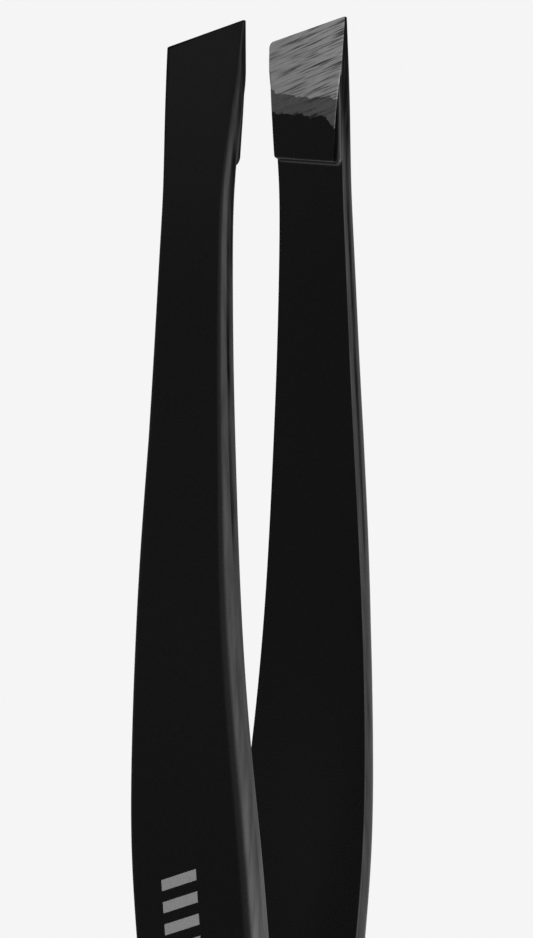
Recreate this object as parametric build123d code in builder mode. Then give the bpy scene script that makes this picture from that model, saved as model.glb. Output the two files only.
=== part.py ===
"""Slant tweezers: two mirrored spring-steel arms, spot-welded together at the tail.

X runs from the tail end to the tips, Y is the opening direction (left arm on +Y) and Z is up,
across the arms' width. The origin is the middle of the tail end, between the two arms.
All lengths are in millimetres and all angles in degrees.
"""

from build123d import *
from math import atan2, cos, degrees, radians, sin
import os

# Overall
length = 95.0  # tail end to the long corner of the tips
weld_length = 12.0  # stretch of the tail where the arms lie against each other
tail_thickness = 1.2  # one arm's sheet at the tail
tail_half_width = 3.2
tail_corner_radius = 1.6
slant = 16.3  # tip edge, away from square

# Plan outline: half widths of one arm along its length
rear_flank = [(weld_length, 3.45), (24.0, 4.15)]
grip_half_width = 5.0
grip_start, grip_end = 37.0, 45.0  # straight stretch, on which the tweezers lie level
front_flank = [(53.0, 4.58), (60.0, 4.02), (68.0, 3.44), (76.0, 2.93), (82.5, 2.65)]
flare_start, flare_half_width = 86.8, 2.62
tip_half_width = 3.1

# Side profile of the left arm: how far its two faces stand out from the middle plane
inner_bow = [(20.0, 0.72), (31.0, 2.09), (43.0, 3.56), (56.0, 4.68), (63.0, 4.82), (72.0, 4.7), (80.0, 4.54)]
outer_bow = [(20.0, 1.93), (31.0, 3.3), (43.0, 4.86), (56.0, 5.83), (62.0, 5.99), (72.0, 5.79), (80.0, 5.5)]
inner_shoulder = (86.0, 4.29)  # where the forged tip starts to bend inwards
outer_shoulder = (86.0, 5.16)
inner_end = (length, 3.4)
outer_end = (length, 4.15)
level = (1, 0)  # directions that the profiles and outlines start or end in
inner_tip_direction = (9, -1)
outer_tip_direction = (8, -1)
rear_leg_direction = (12, 0.2)
outer_edge_radius = 0.45

# Forged pad inside each tip, and the faces ground on it
pad_start = 86.5
pad_height = 1.0  # before its face is ground
pad_lean = 5.0  # its base follows the sheet, which leans inwards here
pad_inset = 0.03  # its base stays this far inside the sheet's edges
pad_draft = 20.0  # slope of its sides and of the step behind it
pad_corner_radius = 0.35
pad_offset = 3.69  # pad face, out from the middle plane
run_out_start = 89.4  # where the pad face turns into the run-out of the grinding
grip_face_start, grip_face_offset = 90.5, 3.72
tip_offset = 3.945  # the ground face at the tip edge, half of the open gap

# Flexure: an arm's bending is gathered into one hinge line across its rear leg
flexure = (26.0, 2.08)  # middle of the sheet
flexure_slope = degrees(atan2(inner_bow[1][1] - inner_bow[0][1], inner_bow[1][0] - inner_bow[0][0]))
knuckle_radius = 0.58
knuckle_clearance = 0.03
socket_setback = 0.42  # keeps the socket's lips from ending in a feather edge

# Spot welds
nugget_radius = 1.5
nugget_depth = 0.4  # into each arm
nugget_places = [(4.0, 0.0), (9.0, 0.0)]

reach = 12.0  # how far a profile is extruded to pass right through the arms
overrun = 2.0  # how far the tips are made too long before they are trimmed to the slant
nearly_parallel = 0.99  # least cosine between directions that count as the same
flattest_outer_normal = 0.9  # least share of +Y in the outer face's direction

os.makedirs("parts", exist_ok=True)

# ---------------------------------------------------------------- left arm, before it is split
flare_direction = (length - flare_start, tip_half_width - flare_half_width)
ground_cut_start = pad_start - overrun  # behind the pad, where the sheet stands clear of the cut
flare_slope = flare_direction[1] / flare_direction[0]
rough_length = length + overrun
rough_half_width = tip_half_width + overrun * flare_slope
lean = radians(pad_lean)

with BuildPart() as left_arm:
    # Side profile of the bowed sheet
    with BuildSketch(Plane.XY.offset(-reach)):
        with BuildLine():
            inner_tail = Line((0, 0), (weld_length, 0))
            inner_leg = Spline(
                inner_tail @ 1, *inner_bow, inner_shoulder, inner_end, tangents=[level, inner_tip_direction]
            )
            outer_tail = Line((0, tail_thickness), (weld_length, tail_thickness))
            outer_leg = Spline(
                outer_tail @ 1, *outer_bow, outer_shoulder, outer_end, tangents=[level, outer_tip_direction]
            )
            inner_run = Line(inner_leg @ 1, (rough_length, inner_leg.position_at(1).Y))
            outer_run = Line(outer_leg @ 1, (rough_length, outer_leg.position_at(1).Y))
            Line(inner_run @ 1, outer_run @ 1)
            Line(outer_tail @ 0, inner_tail @ 0)
        make_face()
    extrude(amount=2 * reach)

    # Plan outline of the sheet, seen along Y
    with BuildSketch(Plane.XZ.offset(-reach)):
        with BuildLine():
            leg = Spline(
                (0, tail_half_width),
                *rear_flank,
                (grip_start, grip_half_width),
                tangents=[rear_leg_direction, level],
            )
            grip = Line(leg @ 1, (grip_end, grip_half_width))
            flank = Spline(
                grip @ 1, *front_flank, (flare_start, flare_half_width), tangents=[level, flare_direction]
            )
            Line(flank @ 1, (rough_length, rough_half_width))
            mirror(about=Plane.XZ)
            Line((0, tail_half_width), (0, -tail_half_width))
            Line((rough_length, rough_half_width), (rough_length, -rough_half_width))
        make_face()
    extrude(amount=2 * reach, mode=Mode.INTERSECT)

    # Rounded corners at the tail end, then rounded outer edges all round
    tail_corners = left_arm.edges().filter_by(Axis.Y).group_by(Axis.X)[0]
    fillet(tail_corners, radius=tail_corner_radius)
    outer_edges = (
        left_arm.faces()
        .filter_by(lambda face: face.normal_at(face.center()).Y > flattest_outer_normal)
        .edges()
        .filter_by(
            lambda edge: edge.center().X < weld_length or abs(edge.tangent_at(0.5).Z) < nearly_parallel
        )
    )
    fillet(outer_edges, radius=outer_edge_radius)

    # Forged pad: its sides and its rear step slope in from the sheet's inner face
    pad_base = Plane(
        origin=(pad_start, inner_shoulder[1], 0),
        x_dir=(cos(lean), -sin(lean), 0),
        z_dir=(-sin(lean), -cos(lean), 0),
    )
    with BuildSketch(pad_base):
        with BuildLine():
            Polyline(
                (0, pad_inset - flare_half_width),
                (rough_length - pad_start, pad_inset - rough_half_width),
                (rough_length - pad_start, rough_half_width - pad_inset),
                (0, flare_half_width - pad_inset),
                close=True,
            )
        pad_outline = make_face()
        fillet(pad_outline.vertices().group_by(Axis.X)[0], radius=pad_corner_radius)
    extrude(amount=pad_height, taper=pad_draft)

    # Ground faces: pad face, run-out and grip face
    with BuildSketch(Plane.XY.offset(-reach)):
        with BuildLine():
            Polyline(
                (ground_cut_start, 0),
                (ground_cut_start, pad_offset),
                (run_out_start, pad_offset),
                (grip_face_start, grip_face_offset),
                (length, tip_offset),
                (rough_length, tip_offset),
                (rough_length, 0),
                close=True,
            )
        make_face()
    extrude(amount=2 * reach, mode=Mode.SUBTRACT)

    # Tip edge, trimmed to the slant
    tip_edge = Plane(origin=(length, 0, tip_half_width), z_dir=(cos(radians(slant)), 0, -sin(radians(slant))))
    split(bisect_by=tip_edge, keep=Keep.BOTTOM)

# ---------------------------------------------------------------- arms, split at the flexure
across_flexure = Plane(
    origin=(flexure[0], flexure[1], -reach),
    x_dir=(cos(radians(flexure_slope)), sin(radians(flexure_slope)), 0),
    z_dir=(0, 0, 1),
)

with BuildPart() as left_arm_heel:
    add(left_arm.part)
    with BuildSketch(across_flexure):
        with Locations((-socket_setback, 0)):
            Rectangle(length, length, align=(Align.MAX, Align.CENTER))
        Circle(knuckle_radius + knuckle_clearance, mode=Mode.SUBTRACT)
    extrude(amount=2 * reach, mode=Mode.INTERSECT)
    # Pockets that the weld nuggets fill
    with BuildSketch(Plane.XZ.offset(-nugget_depth)):
        with Locations(*nugget_places):
            Circle(nugget_radius)
    extrude(amount=reach, mode=Mode.SUBTRACT)
left_arm_heel.part.label = "left_arm_heel"

with BuildPart() as left_arm_blade:
    add(left_arm.part)
    with BuildSketch(across_flexure):
        Rectangle(length, length, align=(Align.MIN, Align.CENTER))
        Circle(knuckle_radius)
    extrude(amount=2 * reach, mode=Mode.INTERSECT)
left_arm_blade.part.label = "left_arm_blade"

with BuildPart() as right_arm_heel:
    mirror(left_arm_heel.part, about=Plane.XZ)
right_arm_heel.part.label = "right_arm_heel"

with BuildPart() as right_arm_blade:
    mirror(left_arm_blade.part, about=Plane.XZ)
right_arm_blade.part.label = "right_arm_blade"

# ---------------------------------------------------------------- spot welds
with BuildPart() as weld_nuggets:
    with BuildSketch(Plane.XZ.offset(-nugget_depth)):
        with Locations(*nugget_places):
            Circle(nugget_radius)
    extrude(amount=2 * nugget_depth)
weld_nuggets.part.label = "weld_nuggets"

for piece in (left_arm_heel, right_arm_heel, left_arm_blade, right_arm_blade, weld_nuggets):
    export_step(piece.part, f"parts/{piece.part.label}.step")
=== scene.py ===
"""Slant tweezers in Blender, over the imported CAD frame: black-coated spring steel with bare ground tips.

X runs from the tail to the tips, Y is the opening direction and Z goes across the arms' width.
Lengths are in millimetres, and become metres where a mesh or the camera is made.
"""

from collections import namedtuple
from math import cos, pi, radians, sin, tan

import bmesh
import bpy
import numpy as np
from mathutils import Matrix, Vector
from mathutils.bvhtree import BVHTree


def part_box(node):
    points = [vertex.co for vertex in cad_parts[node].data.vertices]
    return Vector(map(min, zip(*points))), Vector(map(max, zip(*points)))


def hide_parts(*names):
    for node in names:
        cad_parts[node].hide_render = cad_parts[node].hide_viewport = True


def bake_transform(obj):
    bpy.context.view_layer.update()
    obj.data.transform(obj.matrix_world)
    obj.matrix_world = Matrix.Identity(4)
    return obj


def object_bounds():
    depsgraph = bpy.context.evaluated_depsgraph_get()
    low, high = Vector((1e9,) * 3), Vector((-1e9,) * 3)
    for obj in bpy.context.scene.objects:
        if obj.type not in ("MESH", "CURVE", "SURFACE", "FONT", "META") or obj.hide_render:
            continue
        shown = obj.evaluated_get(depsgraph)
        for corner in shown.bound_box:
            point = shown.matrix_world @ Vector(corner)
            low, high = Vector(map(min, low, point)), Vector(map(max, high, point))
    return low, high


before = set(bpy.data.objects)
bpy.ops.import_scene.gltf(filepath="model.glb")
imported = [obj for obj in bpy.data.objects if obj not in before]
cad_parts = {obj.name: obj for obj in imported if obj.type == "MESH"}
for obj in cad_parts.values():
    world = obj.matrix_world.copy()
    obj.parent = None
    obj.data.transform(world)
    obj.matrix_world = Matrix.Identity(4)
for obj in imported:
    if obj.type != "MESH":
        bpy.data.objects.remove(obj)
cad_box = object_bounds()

MM = 0.001

# Arm, as the CAD has it
length = cad_box[1].x / MM
weld_length = 12.0
tail_corner_radius = 1.6
slant = radians(16.3)  # of the tip edge
pad_start = 86.5
pad_draft = radians(20)
run_out_start = 89.4
grip_face_start = 90.5
plain_sheet_end = pad_start - 0.5

# Arm, finer than the CAD. Each table holds (x, value) along the arm.
upper_rounding = [  # radius of the outer face's edge at +Z
    (0, 0.45), (12, 0.5), (30, 0.75), (43, 0.9), (60, 0.8), (71, 0.47), (85, 0.32), (91, 0.2), (95, 0.07)
]
lower_rounding = [  # and at -Z
    (0, 0.45), (12, 0.5), (40, 0.6), (60, 0.8), (71, 0.85), (85, 0.55), (91, 0.3), (95, 0.07)
]
inner_edge_break = 0.08
tip_edge_break = 0.02
edge_break_narrows = (pad_start + 2, length - 3)
sheet_thickness_at_tip = 0.75
pad_fillet = 0.1
least_bevel_width = 0.03  # of the pad's sloping side
pad_lower_edge = [(86.5, 0.4), (88.5, 0.1), (90.5, 0.0)]  # rounding of the pad's edge at -Z
side_groove = [(60, 0.42), (71, 0.4), (78, 0.36), (84, 0.3), (95, 0.3)]  # its height above the inner face
side_groove_depth = 0.04
side_groove_width = 0.16
side_groove_fade = (60.0, 68.0)
dimple_places = [4.0, 9.0]
dimple_depth = 0.07
dimple_radius = 1.6
dimple_floor = 0.6  # share of the radius
shear_start = grip_face_start + 0.2  # where the mesh's sections start to lean over to the slant
shear_length = 3.0

# Where the surface and its painted light and shade change, as (start, end) along the arm
grip_fade = (46.0, 64.0)
inner_edge_dulls = (82.0, 90.0)
outer_edge_dulls = (84.0, 91.5)
side_dulls = (pad_start - 2.5, pad_start + 2.5)
# where shade is painted on the lower side
lower_side_shade_zone = (70.0, 88.0)
lower_side = (0.3, 0.5)  # height above the inner face over which the lower side ends
pad_edge_ends = (grip_face_start - 0.5, grip_face_start + 0.5)

# Shares of dullness, painted shade and painted highlight that the surface reaches
inner_edge_dullness = 0.65
outer_edge_dullness = 0.75
# painted shade in the side groove, which is rougher there too
groove_shade_and_dullness = 0.8
pad_brow_dullness = 0.8
pad_rear_dullness = 0.35
# painted highlight along the foot of the pad's sides
pad_foot_highlight = 0.1
inner_edge_highlight = 2.0  # painted highlight on the inner edge, for each share of painted light in the grip

# Widths of the lines and fades in the surface's dullness, painted shade and painted highlights
outer_edge_fade = (0.7, 1.1)  # as shares of the edge's radius
inner_edge_fade = (0.8, 1.2)
pad_slope_fade = 0.06
pad_foot_offset = 0.02  # outwards
pad_foot_width = 0.05
pad_brow_width = 0.04
bare_rise = 0.04  # how far the ground face stands clear of the forged one where it is bare all over
bare_fall = 0.01  # how far the edge break has fallen where nothing is bare

# Printed bars on the left arm's outer face, in place of any lettering
bar_count = 7
bar_pitch = 1.3
bar_width = 0.65
bar_height = 2.9
bar_lean = radians(20)
bars_end = 46.6
bars_middle = -0.75
rows_per_bar = 5
vertices_per_row = 13
ink_thickness = 0.012  # above the arm's face
ink_depth = 0.05  # of each bar's solid, most of it inside the arm

sharp_angle = radians(40)  # between faces that meet in a sharp edge


# ---------------------------------------------------------------- curves measured from the frame
def cad_tree(*names):
    """A ray-casting tree of CAD nodes."""
    points, faces = [], []
    for name in names:
        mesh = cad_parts[name].data
        first = len(points)
        points += [vertex.co / MM for vertex in mesh.vertices]
        faces += [[first + index for index in polygon.vertices] for polygon in mesh.polygons]
    return BVHTree.FromPolygons(points, faces)


def cast(tree, start, direction):
    """Where a ray first meets the CAD, or None."""
    return tree.ray_cast(Vector(start), Vector(direction))[0]


def smoothed(values, sigma):
    """Evenly spaced values with the CAD mesh's flats taken out, ends kept."""
    sigmas_reached = 4
    reach = int(sigmas_reached * sigma)
    weights = np.exp(-0.5 * (np.arange(-reach, reach + 1) / sigma) ** 2)
    before = 2 * values[0] - values[reach:0:-1]
    after = 2 * values[-1] - values[-2 : -reach - 2 : -1]
    padded = np.concatenate([before, values, after])
    return np.convolve(padded, weights / weights.sum(), "valid")


class ArmCurves:
    """The left arm's outer face, sheet thickness, half width and ground faces, as functions of x."""

    spacing = 0.25
    smoothing = 6.0  # in spacings
    slope_spacings = 8  # at the end, over which the slope past it is taken
    far = 20.0  # where the rays start
    clear_of_nuggets = 2.0  # z of the rays
    clear_of_flexure = 0.6
    clear_of_slant = 1.2  # from the tip
    ground_places = [pad_start, run_out_start, grip_face_start, length - 0.5]
    clear_of_pad_rear = pad_start + 1

    def __init__(self):
        self.tree = cad_tree("left_arm_heel", "left_arm_blade")
        self.x = np.arange(tail_corner_radius, length - self.clear_of_slant, self.spacing)
        outer, inner, half_width = self.over_flexure(*zip(*(self.section(x) for x in self.x)))
        sheet = self.x < plain_sheet_end
        thickness = np.interp(
            self.x, [*self.x[sheet], length], [*(outer - inner)[sheet], sheet_thickness_at_tip]
        )
        self.outer_values = smoothed(outer, self.smoothing)
        self.thickness_values = smoothed(thickness, self.smoothing)
        self.half_width_values = smoothed(half_width, self.smoothing)
        self.ground_values = [self.inner_face(max(x, self.clear_of_pad_rear)) for x in self.ground_places]

    def inner_face(self, x):
        return cast(self.tree, (x, -self.far, self.clear_of_nuggets), (0, 1, 0)).y

    def section(self, x):
        """Outer face, inner face and half width of the CAD at x."""
        outer = cast(self.tree, (x, self.far, self.clear_of_nuggets), (0, -1, 0)).y
        inner = self.inner_face(x)
        half_width = cast(self.tree, (x, (outer + inner) / 2, self.far), (0, 0, -1)).z
        return outer, inner, half_width

    def over_flexure(self, *measures):
        """The measures, carried straight over the CAD's knuckle and socket."""
        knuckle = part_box("left_arm_blade")[0].x / MM - self.clear_of_flexure
        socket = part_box("left_arm_heel")[1].x / MM + self.clear_of_flexure
        solid = (self.x < knuckle) | (self.x > socket)
        return [np.interp(self.x, self.x[solid], np.array(values)[solid]) for values in measures]

    def along(self, values, x):
        """Values at x, carried on in a straight line past the last one."""
        run = self.x[-1] - self.x[-1 - self.slope_spacings]
        slope = (values[-1] - values[-1 - self.slope_spacings]) / run
        return np.interp(x, self.x, values) + slope * np.maximum(0, x - self.x[-1])

    def outer(self, x):
        return self.along(self.outer_values, x)

    def sheet_inner(self, x):
        return self.outer(x) - self.along(self.thickness_values, x)

    def half_width(self, x):
        return self.along(self.half_width_values, x)

    def ground(self, x):
        """Y of the ground faces, the last one carried on past the tip."""
        run = self.ground_places[-1] - self.ground_places[-2]
        slope = (self.ground_values[-1] - self.ground_values[-2]) / run
        inside = np.interp(x, self.ground_places, self.ground_values)
        return inside + slope * np.maximum(0, x - self.ground_places[-1])


curves = ArmCurves()

Finish = namedtuple("Finish", "ground dull worn")  # shares of a surface: bare ground steel; dullness, which also paints shade, and paints light where under 0; and a painted highlight
Point = namedtuple("Point", "place region finish")

# How the arms differ. side is 1 on +Y and -1 on -Y. tip_corners are the radii of the tip's corners at -Z and
# at +Z, and pad_corner is that of the pad's rear corners. The others are shares: how much shade is painted on
# the lower half of a side, how much duller and darker its tip is, and how much light is painted on the sides
# and edges in the grip, shade if under 0.
Arm = namedtuple("Arm", "name side tip_corners pad_corner lower_dullness tip_dullness grip_shine")
arms = [
    Arm(
        name="left_arm", side=1, tip_corners=(0.12, 0.12), pad_corner=0.8,
        lower_dullness=0.85, tip_dullness=0.7, grip_shine=0.45,
    ),
    Arm(
        name="right_arm", side=-1, tip_corners=(0.3, 0.12), pad_corner=0.35,
        lower_dullness=0.3, tip_dullness=1.0, grip_shine=-0.3,
    ),
]


# ---------------------------------------------------------------- curves that shapes are made of
def smooth_max(a, b, blend):
    """The larger of two heights, with a fillet about as wide as blend where they cross."""
    share = np.clip(0.5 + 0.5 * (a - b) / blend, 0, 1)
    return b + (a - b) * share + blend * share * (1 - share)


def rise(x, start, end):
    """0 before start and 1 after end, smooth in between."""
    t = np.clip((x - start) / (end - start), 0, 1)
    return t * t * (3 - 2 * t)


def line(distance, width):
    """1 on a line, fading out over a width on both sides of it."""
    return np.exp(-((distance / width) ** 2))


def round_off(distance, radius):
    """How far a rounded edge falls back, at a distance from the sharp edge."""
    inside = np.clip(radius - distance, 0, radius)
    return radius - np.sqrt(np.maximum(0, radius**2 - inside**2))


def value_at(x, table):
    """Value at x of a table of (x, value), straight between its places."""
    places, values = zip(*table)
    return np.interp(x, places, values)


# ---------------------------------------------------------------- shape, surface and painted light of one arm
def rounding(x, z):
    """Radius of the outer edge: the upper edge's at z of 1 and over, and the lower edge's at -1 and under."""
    upper_share = rise(z, -1.0, 1.0)
    return upper_share * value_at(x, upper_rounding) + (1 - upper_share) * value_at(x, lower_rounding)


def inner_break(x):
    """Radius of the inner edge."""
    return inner_edge_break + (tip_edge_break - inner_edge_break) * rise(x, *edge_break_narrows)


def tail_distance(x, z):
    """Distance inwards from the outline round the tail end."""
    corner = curves.half_width(x) - tail_corner_radius
    along = np.maximum(0, tail_corner_radius - x)
    across = np.maximum(0, abs(z) - corner)
    return tail_corner_radius - np.hypot(along, across)


def outer_height(x, z, edge_distance):
    """Y of the outer face, edges rounded and weld dimples pressed in."""
    inwards = np.minimum(tail_distance(x, z), edge_distance)
    height = curves.outer(x) - round_off(inwards, rounding(x, z))
    for place in dimple_places:
        from_middle = np.hypot(x - place, z) / dimple_radius
        height = height - dimple_depth * rise(-from_middle, -1.0, -dimple_floor)
    return height


def outer_finish_and_shade(x, z, edge_distance, arm):
    """Surface of the outer face: its rounded edge grows duller and darker towards the tip, and has painted
    shade in the grip on an arm whose grip share is under 0.
    """
    on_edge = 1 - rise(edge_distance / rounding(x, z), *outer_edge_fade)
    dull_and_shade = outer_edge_dullness * rise(x, *outer_edge_dulls) - min(0, arm.grip_shine) * at_grip(x)
    return Finish(0.0, dull_and_shade * on_edge, 0.0)


def at_grip(x):
    """Share by which a place is in the grip, where painted light lies on the sides and edges of one arm and
    painted shade on the other's.
    """
    return 1 - rise(x, *grip_fade)


def pad_distance(x, z, corner):
    """Distance inwards from the foot of the forged pad, and whether its rear is nearer than its side."""
    side = curves.half_width(x) - inner_edge_break - abs(z)
    rear = x - pad_start
    if side < corner and rear < corner:
        return corner - np.hypot(corner - side, corner - rear), rear < side
    return min(side, rear), rear < side


def bevel_width(x):
    """Width of the pad's sloping side, seen square on."""
    full_place = pad_start + 0.3  # past the step at the pad's rear
    full = (curves.sheet_inner(full_place) - curves.ground(full_place)) * tan(pad_draft)
    height = curves.sheet_inner(x) - curves.ground(x)
    return np.where(x < pad_start, full, np.clip(height * tan(pad_draft), least_bevel_width, full))


def ground_face(x, z, inwards):
    """Y of the ground faces, with the pad's lower edge rounded over."""
    radius = value_at(x, pad_lower_edge) if z < 0 else 0.0
    return curves.ground(x) + round_off(inwards, radius)


def inner_surface(x, z, edge_distance, arm):
    """Y and surface shares of the inner face, with painted highlights along its edges."""
    sheet = curves.sheet_inner(x)
    fall = round_off(edge_distance, inner_break(x))
    on_break = 1 - rise(edge_distance / inner_break(x), *inner_edge_fade)
    break_dullness = inner_edge_dullness * on_break * rise(x, *inner_edge_dulls)
    if x < plain_sheet_end:
        # painted highlight along the inner edge in the grip, on the arm with light painted there
        painted_highlight = inner_edge_highlight * max(0, arm.grip_shine) * on_break * at_grip(x)
        return sheet + fall, Finish(0.0, break_dullness, painted_highlight)
    inwards, at_rear = pad_distance(x, z, arm.pad_corner)
    pad = sheet - smooth_max(inwards / tan(pad_draft), 0, pad_fillet)
    ground = ground_face(x, z, inwards)
    height = smooth_max(pad, ground, pad_fillet) + fall
    is_ground = np.clip((ground - pad) / bare_rise, 0, 1) * np.clip(1 - fall / bare_fall, 0, 1)
    slope = rise(inwards, 0.0, pad_slope_fade) * (1 - is_ground)
    behind_tip = 1 - rise(x, *pad_edge_ends)
    foot = line(inwards + pad_foot_offset, pad_foot_width) * behind_tip
    brow = line(inwards - bevel_width(x), pad_brow_width) * behind_tip
    # at the pad's rear the step's foot and brow carry a painted highlight, its bright line
    if at_rear:
        return height, Finish(is_ground, max(slope * pad_rear_dullness, break_dullness), max(foot, brow))
    dull_and_shade = max(slope, break_dullness, pad_brow_dullness * brow)
    return height, Finish(is_ground, dull_and_shade, pad_foot_highlight * foot)


def groove(height, x):
    """Share of the shallow groove along a side, at a height above the inner face."""
    return rise(x, *side_groove_fade) * line(height - value_at(x, side_groove), side_groove_width)


def wall_finish_and_painted_light(height, x, arm):
    """Surface shares of a side at a height above the inner face, with painted shade and light on it."""
    tip = arm.tip_dullness * rise(x, *side_dulls)
    # painted shade on the lower part of the side towards the tip, heavier on the left arm
    lower = rise(x, *lower_side_shade_zone) * (1 - rise(height, *lower_side)) * arm.lower_dullness
    # painted shade in the side groove, which is rougher too
    dull_and_shade = max(groove_shade_and_dullness * groove(height, x), lower, tip)
    # painted light on the sides in the grip of the left arm, painted shade on those of the right arm
    return Finish(0.0, dull_and_shade - arm.grip_shine * at_grip(x), 0.0)


# ---------------------------------------------------------------- mesh of one arm
outer_arc_columns = 10
outer_flat_columns = 10
inner_arc_columns = 5
inner_flat_columns = 5
bevel_shares = np.array([-0.1, 0.05, 0.15, 0.5, 0.8, 0.9, 1.0, 1.1, 1.25])  # of the pad's sloping side
least_column_gap = 0.002
corner_columns = 7
corner_column_gap = 0.06
wall_columns = 12
end_stations = 14  # round each end
tip_end_length = 0.6
closing_steps = 4  # from a station towards the place on it, until the place no longer moves


def arc_columns(radius, count):
    """Distances of columns over a rounded edge."""
    return radius * (1 - np.cos(np.linspace(0, pi / 2, count)))


def flat_columns(start, half, count):
    """Distances of columns from the last one before a flat stretch to the middle."""
    return start + (half - start) * np.linspace(0, 1, count + 1)[1:]


def outer_columns(x, half, side):
    """Distances from the edge of the outer face's columns, from the edge to the middle."""
    arc = arc_columns(rounding(x, side), outer_arc_columns)
    return [*arc, *flat_columns(arc[-1], half, outer_flat_columns)]


def inner_columns(x, half):
    """Distances from the edge of the inner face's columns, from the edge to the middle."""
    arc = arc_columns(inner_break(x), inner_arc_columns)
    bevel = inner_edge_break + bevel_width(x) * bevel_shares
    bevel = np.maximum(bevel, arc[-1] + least_column_gap * np.arange(1, len(bevel) + 1))
    corner = bevel[-1] + corner_column_gap * np.arange(1, corner_columns + 1)
    return [*arc, *bevel, *corner, *flat_columns(corner[-1], half, inner_flat_columns)]


def arm_stations():
    """Stations along the arm, closer together where its shape changes quickly."""
    stretches = [  # (start, end, spacing)
        (tail_corner_radius + 0.2, weld_length, 0.25),
        (weld_length, plain_sheet_end, 0.5),
        (pad_start - 0.25, pad_start + 0.55, 0.025),
        (pad_start + 0.6, length - 0.7, 0.1),
    ]
    turn = np.linspace(0, pi / 2, end_stations)
    tail_end = tail_corner_radius * (1 - np.cos(turn))
    tip_end = length - tip_end_length * (1 - np.sin(turn))
    between = [np.arange(*stretch) for stretch in stretches]
    stations = np.concatenate([tail_end, *between, [run_out_start, grip_face_start], tip_end])
    return np.unique(np.round(stations, decimals=4))


def sheared(x, z):
    """A station's x at z: square to the arm over most of it, and parallel to the tip's slant at the tip."""
    share = np.clip((x - shear_start) / shear_length, 0, 1)
    return x + share * (z - curves.half_width(length)) * tan(slant)


def ring(station, arm):
    """One closed section of the arm, as points."""
    from_end = length - station

    def corner_inset(side):
        """How far the rounded corners at the arm's ends bring one side in."""
        return round_off(from_end, arm.tip_corners[side > 0]) + round_off(station, tail_corner_radius)

    def half_width(side):
        """From the middle to one side's outline."""
        return curves.half_width(station) - corner_inset(side)

    def place(side, distance):
        """(x, z) at a distance from one side's outline, closed in on step by step."""
        x, z = station, 0.0
        for _ in range(closing_steps):
            z = side * max(0.0, curves.half_width(x) - corner_inset(side) - distance)
            x = sheared(station, z)
        return x, z

    def inner_point(side, distance):
        x, z = place(side, distance)
        y, finish = inner_surface(x, z, distance, arm)
        return Point((x, y, z), "inner", finish)

    def outer_point(side, distance):
        x, z = place(side, distance)
        clear = distance if station >= tail_corner_radius else tail_distance(x, z)
        edge_distance = min(clear, from_end)
        finish = outer_finish_and_shade(x, z, edge_distance, arm)
        return Point((x, outer_height(x, z, edge_distance), z), "outer", finish)

    def wall_points(side):
        """Points down a side, from the outer face to the inner one."""
        x, top, z = outer_point(side, 0.0).place
        bottom = inner_point(side, 0.0).place[1]
        wall = []
        for share in np.linspace(0, 1, wall_columns + 2)[1:-1]:
            y = top + (bottom - top) * share
            depth = side_groove_depth * groove(y - bottom, x)
            wall.append(Point((x, y, z - side * depth), "wall", wall_finish_and_painted_light(y - bottom, x, arm)))
        return wall

    points = [outer_point(-1, distance) for distance in outer_columns(station, half_width(-1), -1)]
    points += [outer_point(1, distance) for distance in outer_columns(station, half_width(1), 1)[-2::-1]]
    points += wall_points(1)
    points += [inner_point(1, distance) for distance in inner_columns(station, half_width(1))]
    points += [inner_point(-1, distance) for distance in inner_columns(station, half_width(-1))[-2::-1]]
    points += wall_points(-1)[::-1]
    return points


def add_row(shape, section, side, rest, finish):
    """The section's vertices, which carry their place at rest and their surface shares with painted light and
    shade.
    """
    row = []
    for point in section:
        x, y, z = point.place
        vertex = shape.verts.new((x * MM, side * y * MM, z * MM))
        vertex[rest] = (x, side * y, z)
        vertex[finish] = point.finish
        row.append(vertex)
    return row


def close_end(shape, row):
    """Closes one end of an arm with triangles round its middle."""
    middle = shape.verts.new(sum((vertex.co for vertex in row), Vector()) / len(row))
    for layer in shape.verts.layers.float_vector.values():
        middle[layer] = sum((vertex[layer] for vertex in row), Vector()) / len(row)
    for vertex, following in zip(row, row[1:] + row[:1]):
        shape.faces.new((middle, vertex, following))


def arm_mesh(arm):
    """The mesh of one arm, made as the left arm and mirrored for the right one."""
    sections = [ring(station, arm) for station in arm_stations()]
    on_inside = [point.region == "inner" for point in sections[0]]
    count = len(on_inside)
    shape = bmesh.new()
    rest = shape.verts.layers.float_vector.new("rest_mm")
    finish = shape.verts.layers.float_vector.new("finish")
    rows = [add_row(shape, section, arm.side, rest, finish) for section in sections]
    for row, following in zip(rows, rows[1:]):
        for index in range(count):
            after = (index + 1) % count
            face = shape.faces.new((row[index], row[after], following[after], following[index]))
            face.smooth = True
            face.material_index = int(on_inside[index] and on_inside[after])
    close_end(shape, rows[0])
    close_end(shape, rows[-1])
    bmesh.ops.recalc_face_normals(shape, faces=shape.faces)
    mesh = bpy.data.meshes.new(f"{arm.name}_steel")
    shape.to_mesh(mesh)
    shape.free()
    mesh.set_sharp_from_angle(angle=sharp_angle)
    return mesh


# ---------------------------------------------------------------- shader nodes
noise_range = (0.3, 0.7)  # most of a noise texture's values lie in it


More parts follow.
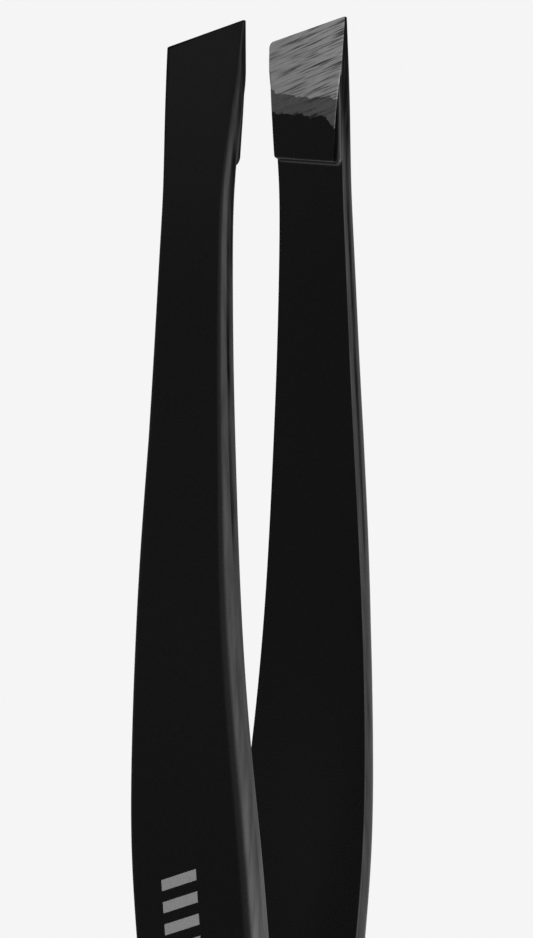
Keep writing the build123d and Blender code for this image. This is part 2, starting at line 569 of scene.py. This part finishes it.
class Nodes:
    """Small helper that adds and links shader nodes."""

    def __init__(self, owner):
        owner.use_nodes = True
        self.tree = owner.node_tree
        self.tree.nodes.clear()

    def add(self, kind, inputs=None, **settings):
        node = self.tree.nodes.new(kind)
        for name, value in settings.items():
            setattr(node, name, value)
        for name, value in (inputs or {}).items():
            self.feed(node.inputs[name], value)
        return node

    def feed(self, socket, value):
        """Links a socket to a node's first output or to another socket, or else sets its value."""
        if isinstance(value, bpy.types.Node):
            value = value.outputs[0]
        if isinstance(value, bpy.types.NodeSocket):
            self.tree.links.new(value, socket)
        else:
            socket.default_value = value

    def math(self, operation, *values, clamp=False):
        return self.add("ShaderNodeMath", dict(enumerate(values)), operation=operation, use_clamp=clamp)

    def ramp(self, value, low, high, start=0.0, end=1.0):
        """Value between low and high, brought smoothly to between start and end."""
        inputs = {"Value": value, "From Min": low, "From Max": high, "To Min": start, "To Max": end}
        return self.add("ShaderNodeMapRange", inputs, interpolation_type="SMOOTHSTEP")

    def noise(self, vector, scale, detail=3.0):
        inputs = {"Vector": vector, "Scale": scale, "Detail": detail}
        return self.add("ShaderNodeTexNoise", inputs).outputs["Fac"]

    def spread(self, noise, low, high):
        """A noise brought to between low and high."""
        return self.ramp(noise, *noise_range, low, high)

    def centred(self, noise):
        """A noise brought to about 0."""
        return self.math("SUBTRACT", noise, 0.5)

    def bump(self, height, strength, depth):
        """A normal that follows a height, whose whole range is as deep as depth in millimetres."""
        inputs = {"Height": height, "Strength": strength, "Distance": depth * MM}
        return self.add("ShaderNodeBump", inputs)

    def combine(self, x, y, z):
        return self.add("ShaderNodeCombineXYZ", {"X": x, "Y": y, "Z": z})

    def split(self, vector):
        """The three parts of a vector."""
        return self.add("ShaderNodeSeparateXYZ", {"Vector": vector}).outputs

    def attribute(self, name):
        return self.add("ShaderNodeAttribute", attribute_name=name).outputs["Vector"]

    def rest(self):
        """Place on the object at rest, in millimetres, and its three parts."""
        place = self.attribute("rest_mm")
        return place, self.split(place)

    def finish(self):
        """Ground (X), duller with painted shade (Y) and painted highlight (Z) shares of the surface."""
        return self.split(self.attribute("finish"))

    def grey(self, value):
        return self.add("ShaderNodeCombineColor", {"Red": value, "Green": value, "Blue": value})

    def mix(self, share, first, second):
        """The first shader, giving way to the second by a share."""
        return self.add("ShaderNodeMixShader", {0: share, 1: first, 2: second})

    def output(self, shader):
        self.add("ShaderNodeOutputMaterial", {"Surface": shader})


# ---------------------------------------------------------------- black coat
mottle_scale = 6.0  # this and the other scales of noise are for each millimetre
coat_roughness = (0.24, 0.3)
coat_tone = (0.0046, 0.006)
grain_scale = 22.0
grain_detail = 2.0
grain_strength = 0.12
grain_depth = 0.004
coat_refraction = 1.5
coat_specular = 0.5
dull_roughness = 0.35  # added where the coat is dull
painted_shade_tone = -0.6  # share of the tone added where the coat is duller: painted shade, and painted light where that share is under 0
dull_specular = -0.5  # added where the coat is duller and shade is painted
painted_highlight_tone = 0.06  # painted highlight, added to the tone where one is marked
tip_zone = (78.0, 94.0)
grip_zone = (44.0, 62.0)
drawn_scale = (0.22, 4.0, 4.0)  # of the faint lines drawn along the sides
drawn_specular = 0.7
side_facing = (0.4, 0.8)  # Z of the normal over which an edge turns into a side

Tones = namedtuple("Tones", "grip tip")  # added to the coat's tone in the grip and at the tip: painted shade on the outer face and painted light on the inner face in the grip, and a lighter tone at the tip
outer_tones = Tones(grip=-0.0022, tip=0.009)
inner_tones = Tones(grip=0.006, tip=0.002)


def coat_tones(nodes, mottle, parts, finish, tones):
    """Tone of the coat, mottled, with painted shade and light by zone, darker with painted shade where
    duller, and lighter under painted highlights.
    """
    at_tip = nodes.ramp(parts["X"], *tip_zone, 0.0, tones.tip)
    in_grip = nodes.ramp(parts["X"], *grip_zone, tones.grip, 0.0)
    plain = nodes.math("ADD", nodes.spread(mottle, *coat_tone), at_tip)
    zoned = nodes.math("ADD", plain, in_grip)
    dulled = nodes.math("MULTIPLY", zoned, nodes.math("MULTIPLY_ADD", finish["Y"], painted_shade_tone, 1.0))
    return nodes.math("MULTIPLY_ADD", finish["Z"], painted_highlight_tone, dulled)


def coat_gleam(nodes, place, finish):
    """Specular level of the coat, in drawn lines along the sides and low where it is duller and shade is
    painted.
    """
    stretched = nodes.add("ShaderNodeVectorMath", {0: place, 1: drawn_scale}, operation="MULTIPLY")
    drawn = nodes.centred(nodes.noise(stretched, 1.0))
    facing = nodes.split(nodes.add("ShaderNodeNewGeometry").outputs["Normal"])
    on_side = nodes.ramp(nodes.math("ABSOLUTE", facing["Z"]), *side_facing)
    on_side_drawn = nodes.math("MULTIPLY", drawn, on_side)
    lined = nodes.math("MULTIPLY_ADD", on_side_drawn, drawn_specular, coat_specular)
    return nodes.math("MULTIPLY_ADD", finish["Y"], dull_specular, lined, clamp=True)


def coat_shader(nodes, tones):
    """Satin black coating over forged steel, rougher and with painted shade in the grooves, and painted
    highlights on the pad's edges.
    """
    place, parts = nodes.rest()
    finish = nodes.finish()
    mottle = nodes.noise(place, mottle_scale)
    grain = nodes.noise(place, grain_scale, grain_detail)
    satin = nodes.spread(mottle, *coat_roughness)
    return nodes.add("ShaderNodeBsdfPrincipled", {
        "Base Color": nodes.grey(coat_tones(nodes, mottle, parts, finish, tones)),
        "Roughness": nodes.math("MULTIPLY_ADD", finish["Y"], dull_roughness, satin),
        "Normal": nodes.bump(grain, grain_strength, grain_depth),
        "IOR": coat_refraction,
        "Specular IOR Level": coat_gleam(nodes, place, finish),
    })


def black_coat():
    material = bpy.data.materials.new("black_coat")
    nodes = Nodes(material)
    nodes.output(coat_shader(nodes, outer_tones))
    return material


# ---------------------------------------------------------------- bare ground steel
grinding_slant = radians(19.5)  # of the marks that the belt leaves
Marks = namedtuple("Marks", "lines_per_mm fades_per_mm seed strength")
coarse_marks = Marks(lines_per_mm=4.5, fades_per_mm=0.25, seed=0.0, strength=0.35)
fine_marks = Marks(lines_per_mm=12.0, fades_per_mm=0.45, seed=3.0, strength=0.8)
marks_upwards = (-3.0, 1.5, 0.5, 1.4)  # Z from and to, and the marks' strength from and to
marks_on_grip_face = (grip_face_start - 0.4, grip_face_start + 0.2, 0.5, 1.0)  # the same along X
marks_range = (-0.18, 0.06)  # of the marks' depth, over which the tone goes from dark to pale
steel_tone = (0.2, 0.92)
steel_roughness = 0.6
marks_bump = 0.5
marks_depth = 0.03

# Edges of the bare steel: the run-out is partly bare, and the grip face bare all over. At a corner, the four
# numbers are Z from and to, and from and to how far the edge moves towards the tail.
run_out_edge = (run_out_start - 0.18, run_out_start - 0.06)
run_out_bareness = 0.31
grip_face_edge = (grip_face_start - 0.26, grip_face_start - 0.14)
run_out_corner = (1.6, 2.6, 0.0, 0.55)
grip_face_corner = (-3.0, -2.2, -0.55, 0.0)
waver_scale = 1.1
waver_detail = 1.5
waver = 0.7
frays = Marks(lines_per_mm=5.0, fades_per_mm=0.4, seed=7.0, strength=0.5)


def streaks(nodes, parts, marks):
    """Noise drawn out along the grinding marks, about 0."""
    across = nodes.math(
        "SUBTRACT",
        nodes.math("MULTIPLY", parts["X"], cos(grinding_slant)),
        nodes.math("MULTIPLY", parts["Z"], sin(grinding_slant)),
    )
    lines = nodes.math("MULTIPLY", across, marks.lines_per_mm)
    fades = nodes.math("MULTIPLY", parts["Z"], marks.fades_per_mm)
    drawn = nodes.noise(nodes.combine(lines, fades, marks.seed), 1.0)
    return nodes.math("MULTIPLY", nodes.centred(drawn), marks.strength)


def steel_shader(nodes, parts):
    """Bare steel, scratched by the grinding belt along the slant."""
    mixed = nodes.math("ADD", streaks(nodes, parts, coarse_marks), streaks(nodes, parts, fine_marks))
    strength = nodes.math(
        "MULTIPLY",
        nodes.ramp(parts["Z"], *marks_upwards),
        nodes.ramp(parts["X"], *marks_on_grip_face),
    )
    scratches = nodes.math("MULTIPLY", mixed, strength)
    return nodes.add("ShaderNodeBsdfPrincipled", {
        "Base Color": nodes.grey(nodes.ramp(scratches, *marks_range, *steel_tone)),
        "Metallic": 1.0,
        "Roughness": steel_roughness,
        "Normal": nodes.bump(scratches, marks_bump, marks_depth),
    })


def bareness(nodes, place, parts):
    """Share by which grinding has bared the steel along the tip. Its edges waver and fray."""
    wavering = nodes.centred(nodes.noise(place, waver_scale, waver_detail))
    wavered = nodes.math("MULTIPLY_ADD", wavering, waver, parts["X"])
    frayed = nodes.math("ADD", wavered, streaks(nodes, parts, frays))
    at_grip_face = nodes.math("ADD", frayed, nodes.ramp(parts["Z"], *grip_face_corner))
    at_run_out = nodes.math("ADD", frayed, nodes.ramp(parts["Z"], *run_out_corner))
    clean = nodes.ramp(at_grip_face, *grip_face_edge)
    partly = nodes.ramp(at_run_out, *run_out_edge, 0.0, run_out_bareness)
    return nodes.math("MAXIMUM", clean, partly)


def inner_face():
    """Black coat that gives way to bare steel where the tip is ground."""
    material = bpy.data.materials.new("black_coat_ground_tip")
    nodes = Nodes(material)
    place, parts = nodes.rest()
    bare = nodes.math("MULTIPLY", bareness(nodes, place, parts), nodes.finish()["X"])
    nodes.output(nodes.mix(bare, coat_shader(nodes, inner_tones), steel_shader(nodes, parts)))
    return material


# ---------------------------------------------------------------- ink and welds
ink_speckle_scale = 9.0
ink_tone = (0.35, 0.42)
ink_roughness = 0.6
ink_bump = 0.2
ink_bump_depth = 0.004

weld_grain_scale = 4.0
weld_tone = (0.3, 0.45)
weld_roughness = 0.45
weld_bump = 0.3
weld_bump_depth = 0.02


def printed_ink():
    material = bpy.data.materials.new("printed_ink")
    nodes = Nodes(material)
    speckle = nodes.noise(nodes.attribute("rest_mm"), ink_speckle_scale)
    nodes.output(nodes.add("ShaderNodeBsdfPrincipled", {
        "Base Color": nodes.grey(nodes.spread(speckle, *ink_tone)),
        "Roughness": ink_roughness,
        "Normal": nodes.bump(speckle, ink_bump, ink_bump_depth),
    }))
    return material


def weld_steel():
    """Bare steel, dressed by the object's own place because the CAD's mesh has no attribute for it."""
    material = bpy.data.materials.new("weld_steel")
    nodes = Nodes(material)
    place = nodes.add("ShaderNodeTexCoord").outputs["Object"]
    grains = nodes.noise(place, weld_grain_scale / MM)
    nodes.output(nodes.add("ShaderNodeBsdfPrincipled", {
        "Base Color": nodes.grey(nodes.spread(grains, *weld_tone)),
        "Metallic": 1.0,
        "Roughness": weld_roughness,
        "Normal": nodes.bump(grains, weld_bump, weld_bump_depth),
    }))
    return material


# ---------------------------------------------------------------- pieces
def add_object(name, data):
    """A new object in the scene."""
    added = bpy.data.objects.new(name, data)
    bpy.context.scene.collection.objects.link(added)
    return added


def add_piece(mesh, materials):
    """A new object of a mesh with its materials."""
    for material in materials:
        mesh.materials.append(material)
    return add_object(mesh.name, mesh)


def bend_with(piece):
    """Bakes the piece's placement into its mesh."""
    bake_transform(piece)


def bar_rows(shape, middle, rest):
    """Rows of vertices of one bar, round its middle, on the left arm's outer face."""
    rows = []
    for along in np.linspace(-0.5, 0.5, rows_per_bar):
        row = []
        for across in np.linspace(-0.5, 0.5, vertices_per_row):
            z = bars_middle + across * bar_height
            x = middle + along * bar_width + (z - bars_middle) * tan(bar_lean)
            y = curves.outer(x) + ink_thickness
            vertex = shape.verts.new((x * MM, y * MM, z * MM))
            vertex[rest] = (x, y, z)
            row.append(vertex)
        rows.append(row)
    return rows


def printed_bars():
    """A row of leaning bars, laid on the left arm's outer face."""
    shape = bmesh.new()
    rest = shape.verts.layers.float_vector.new("rest_mm")
    for index in range(bar_count):
        rows = bar_rows(shape, bars_end - bar_width - index * bar_pitch, rest)
        for row, following in zip(rows, rows[1:]):
            for first, second, third, fourth in zip(row, following, following[1:], row[1:]):
                shape.faces.new((first, fourth, third, second)).smooth = True
    mesh = bpy.data.meshes.new("printed_bars")
    bmesh.ops.recalc_face_normals(shape, faces=shape.faces)
    bmesh.ops.solidify(shape, geom=shape.faces[:], thickness=ink_depth * MM)
    shape.to_mesh(mesh)
    shape.free()
    mesh.set_sharp_from_angle(angle=sharp_angle)
    return mesh


coat = black_coat()
inner_coat = inner_face()
for arm in arms:
    piece = add_piece(arm_mesh(arm), [coat, inner_coat])
    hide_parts(f"{arm.name}_heel", f"{arm.name}_blade")
    bend_with(piece)

bars = add_piece(printed_bars(), [printed_ink()])
bend_with(bars)

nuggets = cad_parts["weld_nuggets"]
nuggets.data.materials.clear()
nuggets.data.materials.append(weld_steel())


# ---------------------------------------------------------------- floor, light and camera
backdrop_radiance = 0.913
floor_gap = 0.02
floor_reach = 6.0  # metres, each way

# Light by angle round the arms from overhead, towards the back. It fades in or out over a pair of angles.
box_front_edge = (radians(-68), radians(-38))
box_back_edge = (radians(125), radians(160))
box_falls = (radians(-30), radians(110))
box_falls_to = 0.2
box_radiance = 1.05
tailwards_gain = 3.6  # the box is brighter from the tail's side
tailwards_limit = 2.6  # and at most this many times as bright
glow_front_edge = (radians(-122), radians(-100))
glow_radiance = 0.22
room_radiance = 0.085

# A camera on a long lens, which looks down at the tips from half above, with the tips up
camera_aim = (69.21, -0.40, 0.53)
camera_distance = 350.0
camera_forward_tilt = radians(6.57)  # towards the tips
camera_height = radians(45)
camera_roll = radians(0.40)
camera_lens = 235.6
camera_clip_start = 0.01  # metres


def floor_material():
    """Pale from above whatever the light, and clear from below."""
    material = bpy.data.materials.new("floor")
    nodes = Nodes(material)
    pale = nodes.add("ShaderNodeEmission", {"Color": nodes.grey(backdrop_radiance), "Strength": 1.0})
    clear = nodes.add("ShaderNodeBsdfTransparent")
    from_below = nodes.add("ShaderNodeNewGeometry").outputs["Backfacing"]
    nodes.output(nodes.mix(from_below, pale, clear))
    return material


def floor():
    """A plain pale floor under the tweezers. It shows no shadow and tints nothing."""
    height = cad_box[0].z - floor_gap * MM
    corners = [(-1, -1), (1, -1), (1, 1), (-1, 1)]
    mesh = bpy.data.meshes.new("floor")
    mesh.from_pydata([(x * floor_reach, y * floor_reach, height) for x, y in corners], [], [(0, 1, 2, 3)])
    plane = add_piece(mesh, [floor_material()])
    plane.visible_diffuse = False
    plane.visible_glossy = False
    plane.visible_transmission = False
    plane.visible_shadow = False


def soft_box(nodes, direction, from_overhead, back_edge):
    """Light of the wide soft box overhead, which falls off towards the back and grows towards the tail."""
    front_edge = nodes.ramp(from_overhead, *box_front_edge)
    falling = nodes.ramp(from_overhead, *box_falls, 1.0, box_falls_to)
    box = nodes.math("MULTIPLY", nodes.math("MULTIPLY", front_edge, back_edge), falling)
    growing = nodes.math("EXPONENT", nodes.math("MULTIPLY", direction["X"], -tailwards_gain))
    tailwards = nodes.math("MINIMUM", growing, tailwards_limit)
    return nodes.math("MULTIPLY", nodes.math("MULTIPLY", box, tailwards), box_radiance)


def studio_light():
    """A wide soft box overhead, a dim glow round it and a dimmer room below, all in the world's shader."""
    world = bpy.data.worlds.new("studio")
    bpy.context.scene.world = world
    nodes = Nodes(world)
    direction = nodes.split(nodes.add("ShaderNodeTexCoord").outputs["Generated"])
    backwards = nodes.math("MULTIPLY", direction["Y"], -1.0)
    from_overhead = nodes.math("ARCTAN2", backwards, direction["Z"])
    back_edge = nodes.ramp(from_overhead, *box_back_edge, 1.0, 0.0)
    key = soft_box(nodes, direction, from_overhead, back_edge)
    glow = nodes.math(
        "MULTIPLY",
        nodes.ramp(from_overhead, *glow_front_edge, 0.0, glow_radiance),
        back_edge,
    )
    radiance = nodes.math("ADD", nodes.math("ADD", key, glow), room_radiance)
    lit = nodes.add("ShaderNodeBackground", {"Color": nodes.grey(radiance), "Strength": 1.0})
    shown = nodes.add("ShaderNodeBackground", {"Color": nodes.grey(backdrop_radiance), "Strength": 1.0})
    camera_ray = nodes.add("ShaderNodeLightPath").outputs["Is Camera Ray"]
    nodes.add("ShaderNodeOutputWorld", {"Surface": nodes.mix(camera_ray, lit, shown)})


def photo_camera():
    """The camera, turned from its tilt, its height and its roll."""
    camera = bpy.data.cameras.new("photo_camera")
    camera.lens = camera_lens
    camera.clip_start = camera_clip_start
    holder = add_object("photo_camera", camera)
    backwards = Vector((
        sin(camera_forward_tilt),
        cos(camera_forward_tilt) * cos(camera_height),
        cos(camera_forward_tilt) * sin(camera_height),
    ))
    right = Vector((0, -sin(camera_height), cos(camera_height)))
    up = backwards.cross(right)
    rolled_right = right * cos(camera_roll) + up * sin(camera_roll)
    rolled_up = up * cos(camera_roll) - right * sin(camera_roll)
    turn = Matrix((rolled_right, rolled_up, backwards)).transposed()
    place = (Vector(camera_aim) + backwards * camera_distance) * MM
    holder.matrix_world = Matrix.Translation(place) @ turn.to_4x4()
    bpy.context.scene.camera = holder


floor()
studio_light()
photo_camera()
bpy.context.scene.view_settings.view_transform = "Standard"
